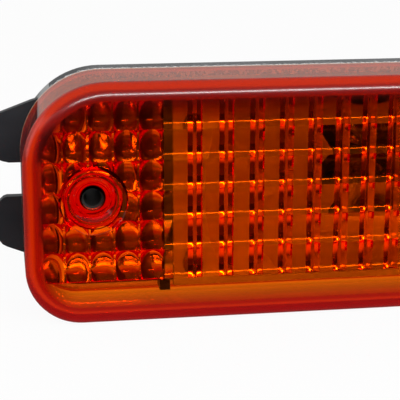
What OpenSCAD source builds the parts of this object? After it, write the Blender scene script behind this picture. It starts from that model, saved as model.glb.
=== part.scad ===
// Bumper lamp: amber moulded lens on a black housing, with reflector, bulb and twist-lock holder.
// Sizes are first written from the lens's left end, its face and its lowest edge.
// The finished lamp is then moved: its origin is on the fixing hole's axis, at the back face of the sleeve.
// X runs along the lens, Y from the face backward and Z upward.

/* [Lens outline] */
// Length of the lens from end to end
lens_l = 190; // [184:1:196]
// Height of the lens
lens_h = 70; // [69:0.5:72]
// Depth of the lens wall, from the face to the joint
lens_d = 28; // [26:0.5:30]
// Corner radius at the top
corner_top = 24.3; // [22:0.1:26]
// Corner radius at the bottom
corner_low = 16.2; // [14:0.1:18]
// Rounding of the front edge
edge_r = 4.5; // [4:0.1:5]
// Rounding inside the front edge, which makes the lens's frame thick
in_r = 4.2; // [3.6:0.1:4.3]
// Thickness of the lens face
face_t = 2.8; // [2.4:0.1:3.2]
// Thickness of the lens wall
wall_t = 2.6; // [2.2:0.1:2.8]

/* [Lens optics] */
// Lowest edge of the optics panel
panel_z = 12.8; // [12:0.1:14]
// Height of one row of optics
row_h = 8.72; // [8.5:0.02:8.8]
// Number of rows
rows = 6; // [5:1:6]
// Radius of a row's back over the lamp zone
row_r = 12; // [9:0.5:16]
// Rise of a row's back over the lens face, lamp zone
row_rise = 1.3; // [1:0.1:1.6]
// Radius of a row's back over the screw zone
pillow_r = 7; // [6:0.5:9]
// Rise of a row's back over the lens face, screw zone
pillow_rise = 1.8; // [1.4:0.1:2]
// Inset of the panel from the lens outline
panel_inset = 5.2; // [5:0.1:6]
// Half width of the narrow ribs over the lamp zone
rib_w = 2.1; // [1.8:0.05:2.3]
// Crest radius of the narrow ribs
rib_r = 0.9; // [0.6:0.05:1.2]
// Radius of the wide flutes over the screw zone
flute_r = 5.4; // [5:0.1:7]
// Rise of the wide flutes
flute_rise = 1.1; // [0.8:0.1:1.3]
// Spacing of the wide flutes
flute_step = 7.1; // [7:0.05:7.2]

/* [Fixing point] */
// Distance of the fixing hole from the left end
boss_x = 19.7; // [19:0.1:21]
// Height of the fixing hole, the bulb and the reflector axis
boss_z = 36.4; // [35:0.1:38]
// Radius of the recess at the face
recess_r = 9; // [8:0.1:9.5]
// Depth of the recess to the screw's seat
seat_y = 5; // [4:0.1:6]
// Radius of the hole through the seat
hole_r = 3.2; // [3.1:0.05:3.4]
// Bore radius of the metal sleeve
sleeve_bore = 2.6; // [2.55:0.05:2.7]
// Outer radius of the metal sleeve
sleeve_r = 3.7; // [3.5:0.05:3.8]
// Thickness of the lens at the screw's seat
seat_t = 2.2; // [2:0.1:2.6]

/* [Housing] */
// Gap at the joint, filled by the sealant
joint_gap = 0.6; // [0.4:0.1:1]
// Thickness of the housing's outer lip
lip_t = 1.4; // [1.2:0.1:1.6]
// Back face of the housing's floor
floor_y = 38.8; // [38:0.1:40]
// Draft of the housing's rim, from the joint to the back
rim_draft = 0.3; // [0:0.1:0.6]
// Left face of the wall between the screw zone and the lamp zone
divider_x = 38.6; // [37.6:0.1:39.6]
// Thickness of the housing's floor and bulb chamber
shell_t = 2.2; // [2:0.1:2.6]
// Distance of the bulb chamber from the lens's lowest edge
chamber_low = 5.2; // [4.8:0.1:5.8]
// Distance of the bulb chamber from the lens's top edge
chamber_top = 3; // [2.6:0.1:3.4]
// Corner radius of the bulb chamber
chamber_r = 9; // [6:0.5:12]
// Back face of the bulb chamber
chamber_y = 55.2; // [54.8:0.1:56]
// Plane of the collar's open end, where the holder seals
collar_y = 60; // [59.6:0.1:61]
// Thickness of the two tongues
tongue_t = 3.2; // [2.8:0.1:3.6]

/* [Reflector and bulb] */
// Gap between the dividing wall and the reflector
refl_gap = 3; // [2.6:0.1:3.6]
// Distance of the reflector from the lens's right end
refl_end = 11.6; // [11:0.1:13]
// Depth of the filament behind the face
filament_y = 26; // [25.5:0.1:26.5]
// Focal length of the reflector bowl as a share of its length
focus_share = 0.1625; // [0.16:0.0005:0.165]
// Front plane of the reflector's rim
rim_y = 9; // [8.5:0.1:10]
// Radius of the bulb's glass
glass_r = 13.25; // [12.8:0.05:13.4]

/* [Hidden] */
$fn = 48;
fit = 0.03; // running allowance between pieces that slide together
ring_w = 7; // width of the swept lens border
groove_out = lip_t; // inset of the groove's outer side
groove_in = 3.7; // inset of the groove's inner side
ring_in = 5.4; // inset of the housing's inner lip
lip_y = lens_d + joint_gap; // front plane of the outer lip
groove_y = lens_d + 6.4; // bottom of the groove
rim_end = lens_d + 5.2; // end of the lens's joint tongue
tongue_out = 1.9; // inset of the joint tongue's outer side
tongue_in = 3.2; // inset of the joint tongue's inner side
tower_end = 24; // back end of the lens's screw tower
mount_y = floor_y + 2.2; // plane in which the lamp bears on its bracket
neck_r = 15.2; // bore of the collar
lug_r = neck_r + 2.4; // reach of the holder's twist-lock lugs
mouth_r = neck_r + 0.2; // opening in the reflector for the bulb and the end of its holder
collar_t = 4.8; // width of the collar's end face
collar_r = neck_r + collar_t;
pin_y = filament_y + 31.8; // bayonet pins behind the filament
cap_r = 7.62; // radius of the bulb's cap
glass_neck = 6.7; // radius of the bulb's glass inside the cap
crown_r = 5.2; // radius of the cap's insulator at its end
lead_x = 2.8; // lead wires from the bulb's axis
contact_r = 2.4;
plunger_y = pin_y + 9.3; // front of the plunger's flange
plunger_r = 7.4;
plunger_t = 1.7;
holder_bore = 8.3;
holder_y = collar_y + 1.2; // front of the holder's flange, behind the seal
contact_y = holder_y + 12.1; // front of the live terminal's disc
blade_w = 6.3;
blade_y = collar_y + 25; // ends of the two blades
pillar_r = 3.2; // pillars under the reflector's rim
spout_r = 4;
spout_bore = 2.5;
spout_end = floor_y + 8;
vent_z = lens_h - 18;
peg_x = lens_l - 14;
peg_r = 3;
boss_out = 7.2; // radius of the housing's boss round the sleeve
divider_t = 1.4;
zone_x = divider_x + 1; // where the pillows end and the ribs begin
rib_rise = rib_w - rib_r * (sqrt(2) - 1);
panel_back = face_t + max(row_rise + rib_rise, pillow_rise + flute_rise);
divider_y = panel_back + 0.2;
bowl_t = 2.6; // thickness of the reflector behind its bowl
flange_t = 2; // thickness of the reflector's flange
refl_a = [divider_x + divider_t + refl_gap, 8.6]; // reflector's lower left corner, in x and z
refl_b = [lens_l - refl_end, lens_h - 5.8]; // reflector's upper right corner
bulb_x = (refl_a[0] + refl_b[0]) / 2; // the bulb's axis, in the middle of the reflector
focus = focus_share * (refl_b[0] - refl_a[0]);
vertex_y = filament_y + focus; // deepest point of the bowl
bowl_gap = 0.7; // gap between the bowl and the edge of the bulb chamber
chamber_x = sqrt((vertex_y + bowl_t - floor_y + shell_t) * 4 * focus) + shell_t + bowl_gap;
vent_x = bulb_x + chamber_x + 11.3;
screw_in = [5.6, 6.8]; // reflector screws from its corners
screw_places = [for (x = [refl_a[0] + screw_in[0], refl_b[0] - screw_in[0]])
  for (z = [refl_a[1] + screw_in[1], refl_b[1] - screw_in[1]]) [x, z]];

// Moves the finished piece to the lamp's origin.
module placed() {
  translate([-boss_x, -mount_y, -boss_z]) children();
}

// A turned piece about an axis that runs backward through x, z. The section is radius by depth.
module turned(x, z) {
  translate([x, 0, z]) rotate([-90, 0, 0]) rotate_extrude($fn = 72) children();
}

// A round bar along the depth, from y0 to y1.
module bar(x, z, r, y0, y1) {
  translate([x, y0, z]) rotate([-90, 0, 0]) cylinder(r = r, h = y1 - y0);
}

// A tube along the depth.
module tube(x, z, r_out, r_in, y0, y1) {
  difference() {
    bar(x, z, r_out, y0, y1);
    bar(x, z, r_in, y0 - 1, y1 + 1);
  }
}

// A block given by its two corners.
module block(a, b) {
  translate(a) cube(b - a);
}

// One corner of a section carried round the outline.
module bend(x, z, r, start) {
  translate([x, 0, z]) rotate([-90, 0, 0]) rotate([0, 0, start])
    rotate_extrude(angle = 90) translate([r, 0]) children();
}

// Carries a section round the lens outline. In the section x is outward from the outline and y is the depth.
module around() {
  side = lens_h - corner_top - corner_low;
  top = lens_l - 2 * corner_top;
  translate([lens_l - corner_top, 0, lens_h]) rotate([0, -90, 0]) linear_extrude(top) children();
  translate([corner_low, 0, 0]) rotate([0, 90, 0]) linear_extrude(lens_l - 2 * corner_low) children();
  translate([0, 0, lens_h - corner_top]) rotate([0, 180, 0]) linear_extrude(side) children();
  translate([lens_l, 0, corner_low]) linear_extrude(side) children();
  bend(corner_top, lens_h - corner_top, corner_top, 180) children();
  bend(lens_l - corner_top, lens_h - corner_top, corner_top, 270) children();
  bend(lens_l - corner_low, corner_low, corner_low, 0) children();
  bend(corner_low, corner_low, corner_low, 90) children();
}

// A quarter of a disc, in the given quadrant.
module quarter(x, y, r, qx, qy) {
  intersection() {
    translate([x, y]) circle(r);
    translate([qx > 0 ? x : x - r, qy > 0 ? y : y - r]) square(r);
  }
}

// What is cut off a corner to round it: q gives the way outward.
module corner_cut(x, z, r, qx, qz) {
  difference() {
    translate([qx > 0 ? x : x - r - 1, qz > 0 ? z : z - r - 1]) square(r + 1);
    translate([x, z]) circle(r);
  }
}

// A rectangle from p to q with a top and a bottom corner radius.
module rounded(p, q, top, low) {
  difference() {
    translate(p) square(q - p);
    corner_cut(p[0] + top, q[1] - top, top, -1, 1);
    corner_cut(q[0] - top, q[1] - top, top, 1, 1);
    corner_cut(q[0] - low, p[1] + low, low, 1, -1);
    corner_cut(p[0] + low, p[1] + low, low, -1, -1);
  }
}

// The lens outline drawn smaller by an inset, in x and z.
module outline(inset) {
  rounded([inset, inset], [lens_l - inset, lens_h - inset], corner_top - inset, corner_low - inset);
}

// A plate with the inset outline, from y0 to y1.
module plate(inset, y0, y1) {
  translate([0, y1, 0]) rotate([90, 0, 0]) linear_extrude(y1 - y0) outline(inset);
}

// Section of the lens border: wall, rounded front edge and the tongue that enters the housing's groove.
module lens_section() {
  difference() {
    union() {
      translate([-ring_w, 0]) square([ring_w - edge_r, edge_r]);
      translate([-ring_w, edge_r]) square([ring_w, lens_d - edge_r]);
      quarter(-edge_r, edge_r, edge_r, 1, -1);
    }
    translate([-ring_w - 1, face_t]) square([ring_w + 1 - wall_t - in_r, lens_d]);
    translate([-wall_t - in_r, face_t + in_r]) square([in_r, lens_d]);
    quarter(-wall_t - in_r, face_t + in_r, in_r, 1, -1);
  }
  translate([-tongue_in, lens_d - 2]) square([tongue_in - tongue_out, rim_end - lens_d + 2]);
}

// Sideways position of a narrow rib: they stand closer together toward the bulb axis.
function rib_x(k) = 3.85 + 7.45 * k + 0.125 * k * k;

// A rib's section: flanks at 45 degrees, which turn light back on itself, and a round crest.
module rib_section() {
  crest = rib_w - rib_r * sqrt(2);
  t = rib_r / sqrt(2);
  polygon([[-1, -rib_w], [0, -rib_w], [crest + t, -t], [crest + t, t], [0, rib_w], [-1, rib_w]]);
  translate([crest, 0]) circle(rib_r);
}

// Back of a row over the lamp zone, as radius by length, with its ribs.
module lamp_row() {
  end = lens_l - panel_inset + 1;
  intersection() {
    union() {
      square([row_r, lens_l]);
      for (s = [-1, 1], k = [0:7]) translate([row_r, bulb_x + s * rib_x(k)]) rib_section();
    }
    translate([0, zone_x]) square([row_r + rib_w, end - zone_x]);
  }
}

// Back of a row over the screw zone: its flutes make it a row of pillows.
module screw_row() {
  start = panel_inset - 1;
  intersection() {
    union() {
      square([pillow_r, lens_l]);
      for (j = [0:4])
        translate([pillow_r + flute_rise - flute_r, zone_x - flute_step * (j + 0.5)]) circle(flute_r);
    }
    translate([0, start]) square([pillow_r + flute_rise, zone_x - start]);
  }
}

// One row of optics, turned about axes along the lamp.
module optic_row(k) {
  z0 = panel_z + k * row_h;
  mid = z0 + row_h / 2;
  intersection() {
    block([0, face_t - 0.4, z0], [lens_l, panel_back + 1, z0 + row_h]);
    union() {
      translate([0, face_t + row_rise - row_r, mid]) rotate([0, 90, 0])
        rotate_extrude($fn = 96) lamp_row();
      translate([0, face_t + pillow_rise - pillow_r, mid]) rotate([0, 90, 0])
        rotate_extrude($fn = 96) screw_row();
    }
  }
}

// The whole optics panel, trimmed to the inset outline.
module optics() {
  intersection() {
    union() {
      for (k = [0:rows - 1]) optic_row(k);
    }
    plate(panel_inset, face_t - 1, panel_back + 1);
  }
}

// Stepped recess for the fixing screw, as radius by depth.
module recess_section() {
  polygon([[0, -1], [recess_r + 0.3, -1], [recess_r + 0.3, 0], [recess_r, 0.35], [8.1, 1.7], [7.8, 1.7],
    [6.8, 3.3], [6.5, 3.3], [5.3, 4.4], [5, 4.4], [4.6, seat_y], [0, seat_y]]);
}

// Solid tower behind the recess, narrowing to the back.
module tower_section() {
  polygon([[0, 1.5], [recess_r + 0.9, 1.5], [recess_r + 0.9, 7.4], [8.6, 9.6], [7.6, tower_end],
    [0, tower_end]]);
}

module lens() {
  color("orange") placed() difference() {
    union() {
      around() lens_section();
      plate(ring_w - 1, 0, face_t);
      optics();
      turned(boss_x, boss_z) tower_section();
    }
    turned(boss_x, boss_z) recess_section();
    bar(boss_x, boss_z, hole_r, 0, seat_y + seat_t + 1);
    bar(boss_x, boss_z, sleeve_r + fit, seat_y + seat_t, tower_end + 1);
  }
}

// Sealant bead: it fills the groove round the tongue and shows as a thin line at the joint.
module seal_section() {
  difference() {
    union() {
      translate([-groove_in, rim_end - 4]) square([groove_in - groove_out, groove_y - rim_end + 4]);
      translate([-tongue_out, lens_d]) square([tongue_out, joint_gap]);
      translate([-tongue_out, lens_d]) square([tongue_out - groove_out, rim_end - lens_d]);
    }
    translate([-tongue_in, lens_d - 1]) square([tongue_in - tongue_out, rim_end - lens_d + 1]);
  }
}

module lens_seal() {
  color("gainsboro") placed() around() seal_section();
}

module boss_seal() {
  color("gainsboro") placed() tube(boss_x, boss_z, boss_out, sleeve_r + fit, tower_end, tower_end + 1);
}

module screw_sleeve() {
  color("silver") placed() tube(boss_x, boss_z, sleeve_r, sleeve_bore, seat_y + seat_t, mount_y);
}

// Section of the housing's border: the outer lip, the groove's bottom and the inner lip.
module channel_section() {
  polygon([[0, lip_y], [-rim_draft, floor_y], [-ring_in, floor_y], [-ring_in, lens_d + 2],
    [-groove_in, lens_d + 2], [-groove_in, groove_y], [-groove_out, groove_y], [-groove_out, lip_y]]);
}

// Outline of the upper tongue, in x and z from the lens's top.
module upper_tongue() {
  translate([0, lens_h]) polygon([[10, -8.65], [5.8, -8.65], [3.8, -9.2], [-7.6, -13.4], [-8.9, -14.4],
    [-9.4, -16], [-9.4, -23.4], [-8.9, -25], [-7.5, -26.2], [-5.2, -27.2], [-3.4, -27.65], [10, -27.75]]);
}

// Outline of the lower tongue.
module lower_tongue() {
  polygon([[10, 31.9], [-4.4, 31.95], [-5.4, 31.6], [-6.5, 30.6], [-7.2, 29.2], [-7.4, 27.5], [-7.4, 20],
    [-7.2, 18.6], [-6.2, 17.2], [-4.9, 16.4], [10, 10.5]]);
}

// The tongues with their stiffening webs, kept clear of the groove.
module tongues() {
  y0 = lip_y + 0.9;
  difference() {
    union() {
      translate([0, y0 + tongue_t, 0]) rotate([90, 0, 0]) linear_extrude(tongue_t) upper_tongue();
      translate([0, y0 + tongue_t, 0]) rotate([90, 0, 0]) linear_extrude(tongue_t) lower_tongue();
      block([-5, y0 + 1, lens_h - 21], [6, floor_y, lens_h - 18.6]);
      block([-5, y0 + 1, 23], [6, floor_y, 25.4]);
    }
    plate(lip_t - 0.1, lip_y, floor_y + 1);
  }
}

// Bulb chamber at the back of the housing, smaller by an inset, from y0 to y1.
module chamber_block(inset, y0, y1) {
  p = [bulb_x - chamber_x + inset, chamber_low + inset];
  q = [bulb_x + chamber_x - inset, lens_h - chamber_top - inset];
  r = chamber_r - inset;
  translate([0, y1, 0]) rotate([90, 0, 0]) linear_extrude(y1 - y0) rounded(p, q, r, r);
}

// Three ways through the collar for the holder's lugs.
module lug_ways() {
  for (a = [90, 210, 330])
    translate([bulb_x, 0, boss_z]) rotate([0, a, 0])
      block([0, chamber_y - shell_t - 1, -3.6], [lug_r + 0.3, collar_y + 1, 3.6]);
}

module housing() {
  color("dimgray") placed() difference() {
    union() {
      around() channel_section();
      plate(ring_in - 0.9, floor_y - shell_t, floor_y);
      tongues();
      chamber_block(0, floor_y - 1, chamber_y);
      bar(bulb_x, boss_z, collar_r, chamber_y - 1, collar_y);
      bar(boss_x, boss_z, boss_out, tower_end + 1, floor_y);
      bar(boss_x, boss_z, boss_out + 0.8, floor_y - 1, mount_y);
      // dividing wall between the screw zone and the lamp zone, with its foot
      translate([divider_x, divider_y, refl_a[1] + 1.4])
        cube([divider_t, floor_y - 1 - divider_y, refl_b[1] - refl_a[1] - 2.6]);
      translate([divider_x, divider_y, refl_a[1] - 0.2]) cube([divider_t + 1.6, 6, 2.6]);
      // pillars under the reflector's rim
      for (p = screw_places) bar(p[0], p[1], pillar_r, rim_y + flange_t, floor_y - 1);
      // breather spout and locating peg
      bar(vent_x, vent_z, spout_r, floor_y - 1, spout_end);
      bar(peg_x, boss_z, peg_r, floor_y - 1, floor_y + 9);
      translate([peg_x, floor_y + 9, boss_z]) rotate([-90, 0, 0])
        cylinder(r1 = peg_r, r2 = 0.6 * peg_r, h = 1.8);
    }
    chamber_block(shell_t, floor_y - shell_t - 1, chamber_y - shell_t);
    bar(bulb_x, boss_z, neck_r, chamber_y - shell_t - 1, collar_y + 1);
    lug_ways();
    bar(boss_x, boss_z, sleeve_r + fit, tower_end, mount_y + 1);
    bar(vent_x, vent_z, spout_bore, floor_y - shell_t - 1, spout_end + 1);
    for (p = screw_places) bar(p[0], p[1], 1.25, rim_y + 1, rim_y + 14);
  }
}

// Bowl of the reflector as radius by depth, from its vertex out to the rim.
function bowl_y(r) = vertex_y - r * r / (4 * focus);
module bowl_section(back) {
  n = 14;
  r_end = sqrt((vertex_y + back - rim_y + 2) * 4 * focus);
  polygon(concat([[0, rim_y - 2]], [for (i = [n:-1:0]) [r_end * i / n, bowl_y(r_end * i / n) + back]]));
}

module reflector() {
  front = [refl_a[0], rim_y, refl_a[1]];
  color("silver") placed() difference() {
    intersection() {
      union() {
        turned(bulb_x, boss_z) bowl_section(bowl_t);
        block(front, [refl_b[0], rim_y + flange_t, refl_b[1]]);
      }
      block(front, [refl_b[0], vertex_y + 5, refl_b[1]]);
      plate(panel_inset + 1, rim_y - 1, vertex_y + 6);
    }
    intersection() {
      turned(bulb_x, boss_z) bowl_section(0);
      block([0, rim_y - 3, refl_a[1] + 1.8], [lens_l, vertex_y + 1, refl_b[1] - 1.8]);
    }
    bar(bulb_x, boss_z, mouth_r, rim_y, vertex_y + 6);
    // room for the holder's lugs
    bar(bulb_x, boss_z, lug_r + 0.4, chamber_y - shell_t - 2.4, chamber_y);
    for (p = screw_places) bar(p[0], p[1], 1.7, rim_y - 1, rim_y + 3);
  }
}

// One pan-head screw with a crossed slot.
module small_screw(x, z) {
  difference() {
    union() {
      bar(x, z, 2.8, rim_y - 1.8, rim_y);
      bar(x, z, 1.22, rim_y - 1, rim_y + 10);
    }
    block([x - 1.5, rim_y - 2.8, z - 0.25], [x + 1.5, rim_y - 1, z + 0.25]);
    block([x - 0.25, rim_y - 2.8, z - 1.5], [x + 0.25, rim_y - 1, z + 1.5]);
  }
}

module reflector_screws() {
  color("silver") placed() for (p = screw_places) small_screw(p[0], p[1]);
}

// Bulb envelope as radius by depth: a globe that narrows to the neck inside the cap.
module envelope_section(inward) {
  globe_y = filament_y + 1.25;
  r = glass_r - inward;
  union() {
    quarter(0, globe_y, r, 1, -1);
    polygon([[0, globe_y], [r, globe_y], [r * 0.974, globe_y + 3], [r * 0.905, globe_y + 6],
      [r * 0.8, globe_y + 9], [r * 0.69, globe_y + 12], [r * 0.6, globe_y + 15],
      [glass_neck - inward, globe_y + 18], [glass_neck - inward, pin_y], [0, pin_y]]);
  }
}

module bulb_glass() {
  color("lightblue") placed() difference() {
    turned(bulb_x, boss_z) envelope_section(0);
    turned(bulb_x, boss_z) envelope_section(0.7);
  }
}

// Glass foot that carries the lead wires, from the neck to the bead under the filament.
module bulb_stem() {
  color("lightblue") placed() difference() {
    union() {
      turned(bulb_x, boss_z) polygon([[0, pin_y - 18], [1.6, pin_y - 18], [2.2, pin_y - 13], [3.6, pin_y - 6],
        [6, pin_y - 1], [6, pin_y], [0, pin_y]]);
      translate([bulb_x - 3.5, pin_y - 17.4, boss_z]) rotate([0, 90, 0]) cylinder(r = 0.9, h = 7);
    }
    for (s = [-1, 1]) bar(bulb_x + s * lead_x, boss_z, 0.3, filament_y, pin_y + 1);
  }
}

// Two wires from the cap to the ends of the filament.
module lead_wires() {
  color("silver") placed() for (s = [-1, 1])
    bar(bulb_x + s * lead_x, boss_z, 0.28, filament_y + 0.6, pin_y + 4);
}

// Helix of round wire along X, as one closed surface.
module coil(radius, wire, pitch, turns, steps) {
  m = 6;
  n = turns * steps;
  rings = [for (i = [0:n]) for (j = [0:m - 1])
    let (a = 360 * i / steps, b = 360 * j / m, d = radius + wire * cos(b))
    [pitch * i / steps + wire * sin(b), d * cos(a), d * sin(a)]];
  sides = [for (i = [0:n - 1]) for (j = [0:m - 1]) for (h = [0, 1])
    h == 0 ? [i * m + j, i * m + (j + 1) % m, (i + 1) * m + (j + 1) % m]
      : [i * m + j, (i + 1) * m + (j + 1) % m, (i + 1) * m + j]];
  caps = [[for (j = [m - 1:-1:0]) j], [for (j = [0:m - 1]) n * m + j]];
  polyhedron(points = rings, faces = concat(sides, caps), convexity = 10);
}

module filament() {
  turns = 10;
  color("gray") placed() translate([bulb_x - lead_x, filament_y, boss_z])
    coil(0.45, 0.12, 2 * lead_x / turns, turns, 12);
}

module bulb_cap() {
  color("goldenrod") placed() difference() {
    bar(bulb_x, boss_z, cap_r, pin_y - 9.5, pin_y + 6.5);
    bar(bulb_x, boss_z, glass_neck + fit, pin_y - 10, pin_y + 0.5);
    bar(bulb_x, boss_z, cap_r - 0.5, pin_y, pin_y + 5.5);
    bar(bulb_x, boss_z, crown_r, pin_y + 4, pin_y + 7);
    for (s = [-1, 1]) bar(bulb_x + s * lead_x, boss_z, 0.3, pin_y - 2, pin_y + 7);
    for (s = [-1, 1]) translate([bulb_x + s * 6, pin_y, boss_z]) rotate([0, s * 90, 0])
      cylinder(r = 1 + fit, h = 3);
  }
}

module bayonet_pins() {
  color("goldenrod") placed() for (s = [-1, 1])
    translate([bulb_x + s * (glass_neck + 0.1), pin_y, boss_z]) rotate([0, s * 90, 0])
      cylinder(r = 1, h = 1.7);
}

module cap_insulator() {
  color("black") placed() difference() {
    union() {
      bar(bulb_x, boss_z, cap_r - 0.5, pin_y + 4.5, pin_y + 5.5);
      bar(bulb_x, boss_z, crown_r, pin_y + 5, pin_y + 7.5);
    }
    bar(bulb_x, boss_z, 1.4, pin_y + 4, pin_y + 8);
  }
}

module end_contact() {
  color("silver") placed() union() {
    bar(bulb_x, boss_z, 1.4, pin_y + 5, pin_y + 7.5);
    bar(bulb_x, boss_z, contact_r, pin_y + 7.5, pin_y + 8.5);
  }
}

// Bent way that a bayonet pin takes into the holder, and out of which it can't slip.
module pin_way(reach) {
  for (a = [0, 180]) translate([bulb_x, 0, boss_z]) rotate([0, a, 0]) union() {
    block([6, 40, 2.6], [reach, pin_y + 1.6, 4.9]);
    block([6, pin_y - 0.5, -1.1], [reach, pin_y + 1.6, 4.9]);
    block([6, pin_y - 1, -1.05], [reach, pin_y + 1.6, 1.05]);
  }
}

module holder_body() {
  y0 = holder_y;
  slot = blade_w / 2 + 0.05;
  color("dimgray") placed() difference() {
    union() {
      bar(bulb_x, boss_z, neck_r - 0.2, chamber_y - shell_t - 2, y0 + 1);
      bar(bulb_x, boss_z, collar_r, y0, y0 + 3.3);
      bar(bulb_x, boss_z, 12, y0 + 3, y0 + 15);
      block([bulb_x - 9, y0 + 12.6, boss_z - 14.6], [bulb_x + 9, y0 + 15, boss_z + 6]);
      block([bulb_x - 7.6, y0 + 14, boss_z - 14.6], [bulb_x + 7.6, y0 + 26, boss_z + 6]);
      // twist-lock lugs, shown locked behind the collar
      for (a = [130, 250, 370]) intersection() {
        bar(bulb_x, boss_z, lug_r, chamber_y - shell_t - 2, chamber_y - shell_t);
        translate([bulb_x, 0, boss_z]) rotate([0, a, 0]) block([10, 0, -3.2], [18, 80, 3.2]);
      }
      // finger grips on the flange
      for (a = [0, 180]) translate([bulb_x, 0, boss_z]) rotate([0, a, 0])
        block([11, y0 + 3, -1.2], [collar_r - 1.4, y0 + 11, 1.2]);
    }
    tube(bulb_x, boss_z, neck_r - 2, 10, chamber_y - shell_t - 3, y0 + 1);
    bar(bulb_x, boss_z, holder_bore, chamber_y - shell_t - 3, y0 + 12.6);
    pin_way(9.3);
    block([bulb_x - 6, y0 + 15.1, boss_z - 13], [bulb_x + 6, y0 + 27, boss_z + 4.4]);
    block([bulb_x - slot, y0 + 12, boss_z - 0.43], [bulb_x + slot, y0 + 16, boss_z + 0.43]);
    block([bulb_x - slot, y0 - 3, boss_z - 9.15], [bulb_x + slot, y0 + 16, boss_z - 8]);
  }
}

module holder_seal() {
  color("black") placed() tube(bulb_x, boss_z, collar_r - 0.6, neck_r - 0.2 + fit, collar_y, holder_y);
}

module holder_sleeve() {
  color("silver") placed() difference() {
    tube(bulb_x, boss_z, holder_bore - fit, cap_r + 0.08, chamber_y - shell_t - 2.4, collar_y + 6);
    pin_way(9.3);
  }
}

// Insulating plunger with its contact button, pushed against the bulb by the spring.
module contact_plunger() {
  color("peru") placed() union() {
    bar(bulb_x, boss_z, contact_r, pin_y + 8.5, plunger_y + 0.2);
    bar(bulb_x, boss_z, plunger_r, plunger_y, plunger_y + plunger_t);
    bar(bulb_x, boss_z, 3, plunger_y + 1.2, plunger_y + plunger_t + 1.5);
  }
}

module plunger_spring() {
  y0 = plunger_y + plunger_t;
  wire = 0.35;
  turns = 3;
  color("silver") placed() translate([bulb_x, y0 + wire, boss_z]) rotate([0, 0, 90])
    coil(5.2, wire, (contact_y - y0 - 2 * wire) / turns, turns, 24);
}

module live_terminal() {
  side = blade_w / 2;
  color("goldenrod") placed() union() {
    bar(bulb_x, boss_z, 6.4, contact_y, contact_y + 0.5);
    block([bulb_x - side, contact_y + 0.3, boss_z - 0.4], [bulb_x + side, blade_y, boss_z + 0.4]);
  }
}

module earth_terminal() {
  side = blade_w / 2;
  color("goldenrod") placed() difference() {
    block([bulb_x - side, collar_y - 1.5, boss_z - 9.1], [bulb_x + side, blade_y, boss_z - 8.1]);
    bar(bulb_x, boss_z, holder_bore - 0.02, collar_y - 5, collar_y + 6.1);
  }
}

// Rubber breather cap pushed over the spout, with a notch for the air.
module vent_cap() {
  color("black") placed() difference() {
    bar(vent_x, vent_z, spout_r + 1.6, floor_y, spout_end + 2);
    bar(vent_x, vent_z, spout_r, floor_y - 1, spout_end);
    translate([vent_x - 1, floor_y - 1, vent_z - spout_r - 2]) cube([2, spout_end + 2 - floor_y, 2.2]);
  }
}

module vent_foam() {
  color("gray") placed() bar(vent_x, vent_z, spout_bore - 0.02, floor_y - 1, spout_end - 1);
}

lens();
lens_seal();
boss_seal();
screw_sleeve();
housing();
reflector();
reflector_screws();
bulb_glass();
bulb_stem();
lead_wires();
filament();
bulb_cap();
bayonet_pins();
cap_insulator();
end_contact();
holder_body();
holder_seal();
holder_sleeve();
contact_plunger();
plunger_spring();
live_terminal();
earth_terminal();
vent_cap();
vent_foam();
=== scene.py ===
"""Bumper lamp: the finish of each piece, the studio round it and the camera."""
import math
import bpy
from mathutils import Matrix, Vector


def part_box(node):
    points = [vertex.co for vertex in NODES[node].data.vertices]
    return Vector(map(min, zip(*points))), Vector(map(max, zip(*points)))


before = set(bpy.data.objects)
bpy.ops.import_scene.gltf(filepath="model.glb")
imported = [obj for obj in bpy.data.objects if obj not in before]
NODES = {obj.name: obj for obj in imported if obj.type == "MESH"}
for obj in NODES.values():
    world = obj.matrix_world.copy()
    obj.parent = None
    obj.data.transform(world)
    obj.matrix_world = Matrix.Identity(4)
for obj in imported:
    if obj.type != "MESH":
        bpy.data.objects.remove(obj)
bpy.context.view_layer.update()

MM = 0.001
X, Y, Z = range(3)
WHITE = (1.0, 1.0, 1.0, 1.0)

# Outline that lens and housing share, seen from the front
LEFT, FACE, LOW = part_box("lens")[0]
RIGHT, _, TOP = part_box("lens")[1]
CORNER_TOP, CORNER_LOW = 24.3 * MM, 16.2 * MM
JOINT_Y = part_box("lens_seal")[0][Y]

# The lens's thick front frame: where its redder tint ends, and how the tint fades toward the middle
FRAME_BACK = FACE + 4.5 * MM
FRAME_IN, FRAME_FADE = 4.0 * MM, 8.0 * MM
FRAME_TINT = (0.42, 0.03, 0.05, 1.0)
FRAME_ROUGHNESS = 0.2

# The colour that light takes on its way through the lens, and how quickly it takes it
AMBER = (0.999, 0.735, 0.05, 1.0)
AMBER_DENSITY = 1000.0

# Sealant smeared on the housing, with a highlight painted into it along the top: from where up, how far
# behind the joint, and how ragged its edge is
SMEAR_HIGHLIGHT_Z, SMEAR_HIGHLIGHT_FADE = 24 * MM, 6 * MM
SMEAR_HIGHLIGHT_REACH, SMEAR_HIGHLIGHT_EDGE = 1.6 * MM, 0.15 * MM
SMEAR_HIGHLIGHT_RAGS = 16 * MM

# The housing is silvered within its border wall and in the bulb chamber, but not on its dividing wall
FLOOR_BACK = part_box("vent_cap")[0][Y]
WALL_IN = 5.3 * MM
DIVIDER_LEFT, DIVIDER_RIGHT, DIVIDER_BACK = 18.8 * MM, 22.0 * MM, -4.5 * MM
BULB_X = (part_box("bulb_cap")[0][X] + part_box("bulb_cap")[1][X]) / 2
CHAMBER_HALF, CHAMBER_BACK = 36.5 * MM, 12.3 * MM
CHAMBER_LOW, CHAMBER_TOP = LOW + 6.5 * MM, TOP - 4.5 * MM

# The floor, just under the lamp
FLOOR_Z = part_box("housing")[0][Z] - 0.2 * MM
FLOOR_SIZE = 4.0
FLOOR_GREY = (0.92, 0.92, 0.92, 1.0)
FLOOR_WHITE = 0.94
FLOOR_GLOSS = 0.1

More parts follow.
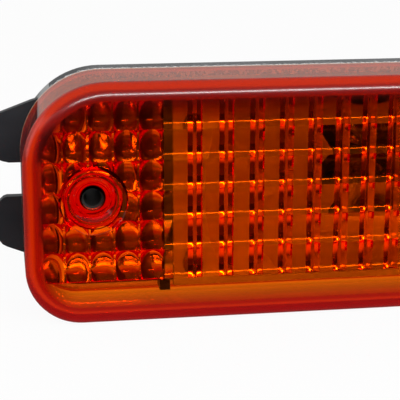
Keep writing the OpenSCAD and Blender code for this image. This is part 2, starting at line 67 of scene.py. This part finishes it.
# Soft borders in the studio, each as where it begins and how wide it is: on the floor in metres,
# and in the sky along the axes of a direction whose length is 1
FLOOR_BEHIND = (-0.08, 0.03)
SKY_MIDDLE = (-0.2, 0.35)
SKY_BEHIND = (0.3, 0.2)
SKY_RAISED = (0.3, 0.25)
SKY_HIGH = (0.5, 0.06)
SKY_OVER_FLOOR = (0.11, 0.03)
SKY_RIGHT = (0.0, 0.05)

# How much of its white each of the studio's dim parts loses
FRONT_DIM = 0.97
BEHIND_DIM = 0.65
HIGH_DIM = 0.85
SOFT_DIM = 0.45

# The point that the softbox is aimed at, and the bounces that light needs inside the thick lens
AIM = Vector((70, -30, 0)) * MM
BOUNCES = 32

# Camera: where the eye stands, and how it is turned
EYE = Vector((-24.6, -393.7, 90.6)) * MM
FOCAL_MM = 117.0
SENSOR_MM = 36.0
NEAREST = 10 * MM
PITCH_DOWN = 14.27
YAW_RIGHT = 8.79


def linear(red, green, blue):
    """A colour as it looks on a screen, from 0 to 255, as the shader's own numbers."""
    channels = [c / 255 for c in (red, green, blue)]
    return tuple(c / 12.92 if c <= 0.04045 else ((c + 0.055) / 1.055) ** 2.4 for c in channels) + (1.0,)


class Term:
    """One output socket. Arithmetic on it adds Math nodes to its tree."""

    def __init__(self, pattern, socket):
        self.pattern = pattern
        self.socket = socket

    def _math(self, operation, *terms):
        return self.pattern.node("ShaderNodeMath", {"operation": operation}, dict(enumerate(terms)))

    def __add__(self, other):
        return self._math("ADD", self, other)

    def __radd__(self, other):
        return self._math("ADD", other, self)

    def __sub__(self, other):
        return self._math("SUBTRACT", self, other)

    def __rsub__(self, other):
        return self._math("SUBTRACT", other, self)

    def __mul__(self, other):
        return self._math("MULTIPLY", self, other)

    def __rmul__(self, other):
        return self._math("MULTIPLY", other, self)

    def __pow__(self, other):
        return self._math("POWER", self, other)

    def over(self, level, width):
        """A soft step: 0 below level, 1 above level + width."""
        settings = {"interpolation_type": "SMOOTHSTEP"}
        return self.pattern.node("ShaderNodeMapRange", settings, {0: self, 1: level, 2: level + width})

    def at_least(self, other):
        """The larger of the two values."""
        return self._math("MAXIMUM", self, other)

    def size(self):
        """The value without its sign."""
        return self.at_least(0 - self)


class Pattern:
    """A node tree, and the one way in which nodes are added to it."""

    def __init__(self, tree):
        self.tree = tree
        self.tree.nodes.clear()

    def node(self, kind, settings=None, sockets=None, output=0):
        """Adds a node: its settings first, then the values or links of its sockets."""
        node = self.tree.nodes.new(kind)
        for name, value in (settings or {}).items():
            setattr(node, name, value)
        for key, value in (sockets or {}).items():
            if isinstance(value, Term):
                self.tree.links.new(value.socket, node.inputs[key])
            else:
                node.inputs[key].default_value = value
        return Term(self, node.outputs[output])

    def ray(self, kind):
        """1 for rays of that kind, 0 for others."""
        return self.node("ShaderNodeLightPath", output=f"Is {kind} Ray")

    def axis(self, coordinates, axis):
        """One coordinate of a place or direction."""
        vector = self.node("ShaderNodeTexCoord", output=coordinates)
        return self.node("ShaderNodeSeparateXYZ", None, {0: vector}, output=axis)


class Finish(Pattern):
    """A material with one Principled shader and the pattern nodes that vary it."""

    def __init__(self, name, **constants):
        self.material = bpy.data.materials.new(name)
        self.material.use_nodes = True
        super().__init__(self.material.node_tree)
        self.shader = self.tree.nodes.new("ShaderNodeBsdfPrincipled")
        self.output = self.tree.nodes.new("ShaderNodeOutputMaterial")
        self.tree.links.new(self.shader.outputs["BSDF"], self.output.inputs["Surface"])
        for socket, value in constants.items():
            self.shader.inputs[socket.replace("_", " ")].default_value = value

    def place(self, stretch=(1, 1, 1)):
        """Object coordinates, stretched along the three axes."""
        coordinates = self.node("ShaderNodeTexCoord", output="Object")
        return self.node("ShaderNodeMapping", None, {"Vector": coordinates, "Scale": stretch})

    def noise(self, size_mm, detail=2.0, stretch=(1, 1, 1)):
        """Cloudy noise whose patches measure about size_mm."""
        sockets = {"Vector": self.place(stretch), "Scale": 1 / (size_mm * MM), "Detail": detail}
        return self.node("ShaderNodeTexNoise", None, sockets)

    def cells(self, size_mm):
        """Distance to the middle of scattered cells, for pores."""
        sockets = {"Vector": self.place(), "Scale": 1 / (size_mm * MM)}
        return self.node("ShaderNodeTexVoronoi", None, sockets)

    def blend(self, factor, first, second):
        """Mixes two colours."""
        settings = {"data_type": "RGBA"}
        return self.node("ShaderNodeMix", settings, {0: factor, 6: first, 7: second}, output=2)

    def inset(self):
        """How far in from the outline a place lies, up to the radius of the corners."""
        x = self.axis("Object", X) - (LEFT + RIGHT) / 2
        z = self.axis("Object", Z) - (LOW + TOP) / 2
        corner = CORNER_LOW + (CORNER_TOP - CORNER_LOW) * z.over(0, 1e-6)
        beyond_x = (x.size() - (RIGHT - LEFT) / 2 + corner).at_least(0)
        beyond_z = (z.size() - (TOP - LOW) / 2 + corner).at_least(0)
        return corner - (beyond_x * beyond_x + beyond_z * beyond_z) ** 0.5

    def vary(self, socket, term):
        self.tree.links.new(term.socket, self.shader.inputs[socket])

    def bump(self, height, depth_mm, strength=1.0):
        sockets = {"Height": height, "Distance": depth_mm * MM, "Strength": strength}
        self.vary("Normal", self.node("ShaderNodeBump", None, sockets))

    def absorb(self, colour, density):
        """Lets light colour itself on its way through the piece."""
        volume = self.tree.nodes.new("ShaderNodeVolumeAbsorption")
        volume.inputs["Color"].default_value = colour
        volume.inputs["Density"].default_value = density
        self.tree.links.new(volume.outputs[0], self.output.inputs["Volume"])


def amber_plastic():
    """Clear dyed plastic. Light turns orange in it, and redder in the thick frame."""
    finish = Finish("amber_plastic", Roughness=0.0, IOR=1.585, Transmission_Weight=1.0)
    behind_frame = finish.axis("Object", Y).over(FRAME_BACK, MM)
    thick = 1 - finish.inset().over(FRAME_IN, FRAME_FADE).at_least(behind_frame)
    finish.vary("Base Color", finish.blend(thick, WHITE, FRAME_TINT))
    finish.vary("Roughness", FRAME_ROUGHNESS * thick * thick)
    finish.bump(finish.noise(size_mm=9.0, detail=1.0), depth_mm=0.012)
    finish.absorb(AMBER, AMBER_DENSITY)
    return finish.material


def clear_glass():
    finish = Finish("clear_glass", Roughness=0.0, IOR=1.5, Transmission_Weight=1.0)
    finish.bump(finish.noise(size_mm=6.0, detail=1.0), depth_mm=0.01)
    finish.absorb(colour=(0.8, 0.9, 0.85, 1.0), density=20.0)
    return finish.material


def sealant_and_painted_highlight(finish, plastic):
    """The plastic's colour, with a whitish ragged band behind the joint at the top: partly smeared sealant,
    partly a painted highlight.
    """
    top = finish.axis("Object", Z).over(SMEAR_HIGHLIGHT_Z, SMEAR_HIGHLIGHT_FADE)
    ragged_y = finish.axis("Object", Y) + SMEAR_HIGHLIGHT_RAGS * (finish.noise(size_mm=1.2, detail=4.0) - 0.5)
    # Painted highlight: the whitish band along the top joint is partly sealant and partly a highlight painted
    # into the colour
    smear_and_highlight = top * (1 - ragged_y.over(JOINT_Y + SMEAR_HIGHLIGHT_REACH, SMEAR_HIGHLIGHT_EDGE))
    return finish.blend(smear_and_highlight, plastic, linear(236, 232, 230))


def moulded_black(name, colour, grain_mm, roughness, with_sealant_highlight=False):
    """Moulded plastic with a fine spark texture and faint flow marks, bare or with smeared sealant and a
    painted highlight at the top joint.
    """
    finish = Finish(name, Roughness=roughness, Specular_IOR_Level=0.4)
    flow = finish.noise(size_mm=14.0, detail=3.0, stretch=(1, 1, 2.5))
    grain = finish.noise(grain_mm)
    plastic = finish.blend(flow, linear(*colour), linear(*(c + 9 for c in colour)))
    finish.vary("Base Color", sealant_and_painted_highlight(finish, plastic) if with_sealant_highlight else plastic)
    finish.vary("Roughness", roughness - 0.06 + 0.12 * flow)
    finish.bump(grain, depth_mm=0.05, strength=0.5)
    return finish.material


def silver_coating(name, metallic, roughness, wave_mm):
    """Satin silver on moulded plastic, with the faint ripple of the moulding. Less metallic is milkier."""
    finish = Finish(name, Metallic=metallic, Roughness=roughness)
    ripple = finish.noise(wave_mm, detail=3.0)
    finish.vary("Base Color", finish.blend(ripple, (0.88, 0.88, 0.87, 1.0), (0.94, 0.94, 0.93, 1.0)))
    finish.vary("Roughness", roughness - 0.02 + 0.04 * finish.noise(size_mm=2.5))
    finish.bump(ripple, depth_mm=0.05)
    return finish.material


def bright_metal(name, colour, worn, grain_mm, roughness):
    """Plated or drawn metal, slightly uneven in colour and polish."""
    finish = Finish(name, Metallic=1.0, Roughness=roughness)
    cloud = finish.noise(size_mm=3.0, detail=3.0)
    finish.vary("Base Color", finish.blend(cloud, linear(*colour), linear(*worn)))
    finish.vary("Roughness", roughness - 0.05 + 0.15 * finish.noise(grain_mm, detail=3.0))
    finish.bump(finish.noise(grain_mm, detail=3.0), depth_mm=0.01, strength=0.6)
    return finish.material


def cured_sealant(name, glow):
    """Adhesive at the joint, whitish and lumpy, with a painted orange glow that stands in for light reaching
    it through the lens.
    """
    # Painted glow: the emission stands in for light that the lens carries to the sealant
    finish = Finish(name, Roughness=0.4, Emission_Color=linear(255, 150, 80), Emission_Strength=glow)
    lumps = finish.noise(size_mm=1.6, detail=3.0)
    finish.vary("Base Color", finish.blend(lumps, linear(196, 190, 186), linear(240, 238, 236)))
    finish.vary("Roughness", 0.3 + 0.3 * lumps)
    finish.bump(lumps, depth_mm=0.3)
    return finish.material


def soft_rubber():
    finish = Finish("soft_rubber", Roughness=0.7)
    bloom = finish.noise(size_mm=2.2, detail=4.0)
    finish.vary("Base Color", finish.blend(bloom, linear(24, 24, 25), linear(48, 48, 49)))
    finish.vary("Roughness", 0.6 + 0.2 * bloom)
    finish.bump(finish.noise(size_mm=0.5), depth_mm=0.02)
    return finish.material


def open_foam():
    finish = Finish("open_foam", Roughness=0.95)
    pores = finish.cells(size_mm=0.7)
    finish.vary("Base Color", finish.blend(pores, linear(120, 120, 122), linear(46, 46, 48)))
    finish.bump(pores, depth_mm=0.3)
    return finish.material


def insulating_board():
    finish = Finish("insulating_board", Roughness=0.6)
    fibre = finish.noise(size_mm=0.8, detail=4.0, stretch=(1, 1, 4))
    finish.vary("Base Color", finish.blend(fibre, linear(112, 70, 38), linear(150, 100, 60)))
    finish.bump(fibre, depth_mm=0.03)
    return finish.material


def black_insulator():
    finish = Finish("black_insulator", Roughness=0.25)
    swirl = finish.noise(size_mm=1.5, detail=3.0)
    finish.vary("Base Color", finish.blend(swirl, linear(14, 14, 16), linear(34, 32, 34)))
    finish.vary("Roughness", 0.18 + 0.2 * swirl)
    return finish.material


def finish_nodes():
    """Gives every piece of the lamp its material. Each metal has its clean and its worn colour."""
    glass = clear_glass()
    plated = bright_metal("plated_steel", (214, 212, 206), (176, 174, 170), grain_mm=1.2, roughness=0.28)
    wire = bright_metal("drawn_wire", (190, 186, 180), (150, 146, 140), grain_mm=0.6, roughness=0.3)
    brass = bright_metal("cap_brass", (214, 182, 112), (176, 140, 78), grain_mm=1.0, roughness=0.3)
    tinned = bright_metal("tinned_terminal", (206, 200, 180), (176, 164, 130), grain_mm=0.8, roughness=0.3)
    solder = bright_metal("soft_solder", (190, 190, 190), (140, 140, 142), grain_mm=0.9, roughness=0.42)
    zinc = bright_metal("dulled_zinc", (92, 90, 86), (64, 62, 60), grain_mm=1.2, roughness=0.55)
    rubber = soft_rubber()
    materials = {
        "lens": amber_plastic(),
        # The sealants' glow strengths are painted light
        "lens_seal": cured_sealant("edge_sealant", glow=0.22),
        "boss_seal": cured_sealant("boss_sealant", glow=0.25),
        "screw_sleeve": zinc,
        # The housing carries the sealant smear with a highlight painted along its top joint
        "housing": moulded_black("housing_plastic", (34, 35, 39), 0.35, roughness=0.34, with_sealant_highlight=True),
        "reflector": silver_coating("reflector_silver", metallic=0.3, roughness=0.4, wave_mm=7.0),
        "reflector_screws": plated,
        "bulb_glass": glass,
        "bulb_stem": glass,
        "lead_wires": wire,
        "filament": wire,
        "bulb_cap": brass,
        "bayonet_pins": brass,
        "cap_insulator": black_insulator(),
        "end_contact": solder,
        "holder_body": moulded_black("holder_plastic", (58, 58, 61), 0.5, roughness=0.5),
        "holder_seal": rubber,
        "holder_sleeve": plated,
        "contact_plunger": insulating_board(),
        "plunger_spring": wire,
        "live_terminal": tinned,
        "earth_terminal": tinned,
        "vent_cap": rubber,
        "vent_foam": open_foam(),
    }
    for name, material in materials.items():
        mesh = NODES[name].data
        mesh.materials.clear()
        mesh.materials.append(material)


def silvered_inside(housing):
    """Silvers the housing's inner faces and the bulb chamber, all but the dividing wall."""
    mesh = housing.data
    mesh.materials.append(silver_coating("silver_lacquer", metallic=1.0, roughness=0.15, wave_mm=3.0))
    for face in mesh.polygons:
        x, y, z = face.center
        within_wall = LEFT + WALL_IN < x < RIGHT - WALL_IN and LOW + WALL_IN < z < TOP - WALL_IN
        on_divider = DIVIDER_LEFT < x < DIVIDER_RIGHT and y < DIVIDER_BACK
        in_tray = within_wall and y < FLOOR_BACK and not on_divider
        in_chamber = abs(x - BULB_X) < CHAMBER_HALF and CHAMBER_LOW < z < CHAMBER_TOP and y < CHAMBER_BACK
        if in_tray or in_chamber:
            face.material_index = 1


def floor():
    """A pale floor that keeps the shadow. Mirrors find it dark, and so does the lens in front of the lamp."""
    bpy.ops.object.select_all(action="DESELECT")
    bpy.ops.mesh.primitive_plane_add(size=FLOOR_SIZE, location=(0, 0, FLOOR_Z))
    plane = bpy.context.object
    plane.name = "floor"
    bpy.ops.object.transform_apply(location=True)
    finish = Finish("pale_floor", Base_Color=FLOOR_GREY, Roughness=0.8)
    mirrored = finish.ray("Reflection") * finish.ray("Glossy")
    through = finish.ray("Transmission")
    behind = finish.axis("Object", Y).over(*FLOOR_BEHIND)
    level = 1 - mirrored * (1 - FLOOR_GLOSS * behind) - FRONT_DIM * (through * (1 - behind))
    glow = finish.node("ShaderNodeEmission", None, {"Color": level, "Strength": 1.0})
    seen = finish.ray("Camera").at_least(finish.ray("Glossy")).at_least(through)
    share = (seen * FLOOR_WHITE).at_least(mirrored)
    surface = Term(finish, finish.shader.outputs[0])
    mix = finish.node("ShaderNodeMixShader", None, {0: share, 1: surface, 2: glow})
    finish.tree.links.new(mix.socket, finish.output.inputs["Surface"])
    plane.data.materials.append(finish.material)


def surroundings():
    """A white studio. It is dim in front, for what is polished, and gives less light to what is dull.
    Mirrors also find it dim high up and low behind the lamp."""
    world = bpy.data.worlds.new("white_studio")
    world.use_nodes = True
    sky = Pattern(world.node_tree)
    across, back, up = (sky.axis("Generated", axis) for axis in (X, Y, Z))
    front = (1 - back.over(*SKY_MIDDLE)) * (1 - up.over(*SKY_RAISED))
    high = up.over(*SKY_HIGH)
    low_right = (1 - up.over(*SKY_OVER_FLOOR)) * across.over(*SKY_RIGHT)
    low_behind = back.over(*SKY_BEHIND) * (1 - high) * (1 - low_right)
    mirrored = sky.ray("Reflection") * sky.ray("Glossy")
    polished = mirrored.at_least(sky.ray("Transmission"))
    beyond = BEHIND_DIM * low_behind + HIGH_DIM * high * (1 - front)
    level = 1 - FRONT_DIM * polished * front - mirrored * beyond - SOFT_DIM * sky.ray("Diffuse")
    light = sky.node("ShaderNodeBackground", None, {"Color": level, "Strength": 1.0})
    output = sky.tree.nodes.new("ShaderNodeOutputWorld")
    sky.tree.links.new(light.socket, output.inputs["Surface"])
    bpy.context.scene.world = world


def softbox(name, azimuth, elevation, width, height, radiance):
    """A rectangular lamp one metre away, aimed at the object. Azimuth 0 is in front, 90 at the right."""
    data = bpy.data.lights.new(name, "AREA")
    data.shape = "RECTANGLE"
    data.size = width
    data.size_y = height
    data.energy = radiance * math.pi * width * height
    box = bpy.data.objects.new(name, data)
    a, e = math.radians(azimuth), math.radians(elevation)
    box.location = AIM + Vector((math.sin(a) * math.cos(e), -math.cos(a) * math.cos(e), math.sin(e)))
    box.rotation_euler = (AIM - box.location).to_track_quat("-Z", "Y").to_euler()
    bpy.context.collection.objects.link(box)


def camera():
    data = bpy.data.cameras.new("camera")
    data.lens = FOCAL_MM
    data.sensor_width = SENSOR_MM
    data.clip_start = NEAREST
    eye = bpy.data.objects.new("camera", data)
    eye.location = EYE
    eye.rotation_euler = (math.radians(90 - PITCH_DOWN), 0, -math.radians(YAW_RIGHT))
    bpy.context.collection.objects.link(eye)
    bpy.context.scene.camera = eye


def light_paths(bounces):
    """How often light may bounce, in all and on polished or clear surfaces."""
    cycles = bpy.context.scene.cycles
    cycles.max_bounces = bounces
    cycles.glossy_bounces = bounces
    cycles.transmission_bounces = bounces


finish_nodes()
silvered_inside(NODES["housing"])
floor()
surroundings()
softbox("key_lamp", azimuth=15, elevation=30, width=1.2, height=0.06, radiance=33.0)
camera()
light_paths(BOUNCES)
bpy.context.scene.view_settings.view_transform = "Standard"
